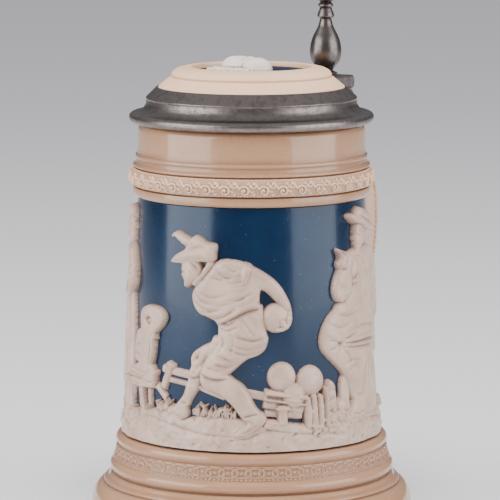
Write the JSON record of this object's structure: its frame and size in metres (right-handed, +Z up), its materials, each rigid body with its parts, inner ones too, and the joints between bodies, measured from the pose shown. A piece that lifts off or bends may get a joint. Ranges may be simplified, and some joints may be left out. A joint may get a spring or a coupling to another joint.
{
  "type": "beer stein",
  "caption": "Ceramic relief beer stein with an ear handle and a hinged pewter lid with a ceramic inlay and a turned thumblift.",
  "frame": {"origin": "centre of the flat underside, on the body's axis", "axes": "+Z up the body's axis, +Y towards the handle, hinge pin along X, decorated front towards -Y"},
  "size_m": [0.1194, 0.1343, 0.2024],
  "materials": {
    "cream_stoneware": "semi-gloss glaze over tan stoneware, brown wash in the recesses",
    "blue_slip": "gloss dark blue glaze with a slight ripple",
    "white_clay": "satin white relief clay",
    "pewter": "dull brushed pewter, darker in the grooves",
    "pin_steel": "plain steel pin"
  },
  "bodies": {
    "mug": {"mug_body": "cream_stoneware", "drum_slip_band": "blue_slip", "border_strip": "cream_stoneware", "handle": "cream_stoneware", "relief_ground": "white_clay", "relief_bowler": "white_clay", "relief_chair": "white_clay", "relief_ball_rack": "white_clay", "relief_leaning_figure": "white_clay", "relief_standing_figure": "white_clay", "relief_oak_tree": "white_clay", "relief_skittles": "white_clay", "handle_clasp": "pewter", "hinge_pin": "pin_steel", "pin_plug_right": "pewter", "pin_plug_left": "pewter"},
    "lid": {"lid_rim": "pewter", "lid_inner_ring": "pewter", "lid_inlay": "cream_stoneware", "lid_slip_disc": "blue_slip", "lid_relief": "white_clay", "lid_shank": "pewter", "thumblift": "pewter"}
  },
  "joints": [
    {"name": "lid_hinge", "type": "hinge", "parent": "mug", "child": "lid", "pos_m": [0, 0.0505, 0.1515], "axis": [-1, 0, 0], "range_deg": [0, 95]}
  ]
}
